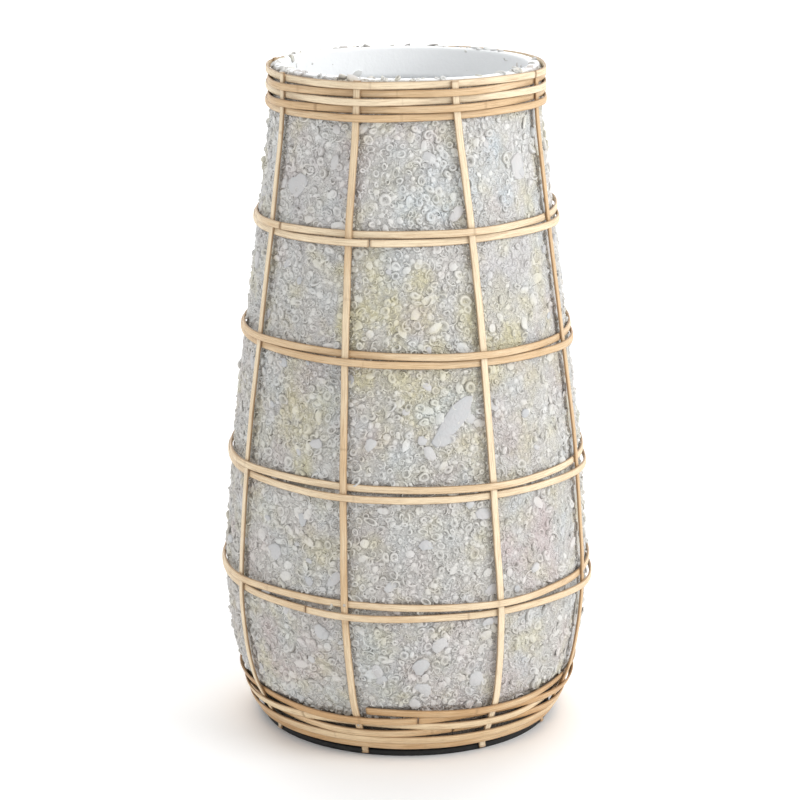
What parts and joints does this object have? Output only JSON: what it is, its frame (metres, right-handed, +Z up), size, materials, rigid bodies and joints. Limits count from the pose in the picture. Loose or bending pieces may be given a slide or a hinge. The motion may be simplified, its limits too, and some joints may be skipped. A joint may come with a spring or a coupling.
{
  "type": "floor vase",
  "caption": "Tall open-mouthed floor vase with a shell mortar coat, in a woven cage of split rattan on a black base plate.",
  "frame": {"origin": "centre of the base plate's underside, on the floor", "axes": "+Z up along the vase's axis, -Y towards the front, +X to the right seen from the front"},
  "size_m": [0.3408, 0.3408, 0.6003],
  "materials": {
    "rattan": "natural split cane, satin skin",
    "shell_mortar": "rough mortar with cut shells",
    "pot": "matt pale wash",
    "base_black": "matt black",
    "nail_steel": "dull"
  },
  "bodies": {
    "root": {"base_plate": "base_black", "foot_hoop_1": "rattan", "foot_hoop_2": "rattan", "foot_hoop_3": "rattan", "foot_hoop_4": "rattan", "foot_hoop_5": "rattan", "foot_hoop_6": "rattan", "foot_nail_2": "nail_steel", "foot_nail_4": "nail_steel", "foot_nail_6": "nail_steel", "foot_nail_8": "nail_steel", "level_1_lower_hoop": "rattan", "level_1_upper_hoop": "rattan", "level_2_lower_hoop": "rattan", "level_2_upper_hoop": "rattan", "level_3_lower_hoop": "rattan", "level_3_upper_hoop": "rattan", "level_4_lower_hoop": "rattan", "level_4_upper_hoop": "rattan", "level_4_upper_nail_2": "nail_steel", "level_4_upper_nail_4": "nail_steel", "level_4_upper_nail_6": "nail_steel", "level_4_upper_nail_8": "nail_steel", "pot": "pot", "rim_hoop_1": "rattan", "rim_hoop_2": "rattan", "rim_hoop_3": "rattan", "rim_hoop_4": "rattan", "rim_hoop_5": "rattan", "shell_mortar_coat": "shell_mortar", "stake_1": "rattan", "stake_2": "rattan", "stake_3": "rattan", "stake_4": "rattan", "stake_5": "rattan", "stake_6": "rattan", "stake_7": "rattan", "stake_8": "rattan"}
  },
  "joints": []
}
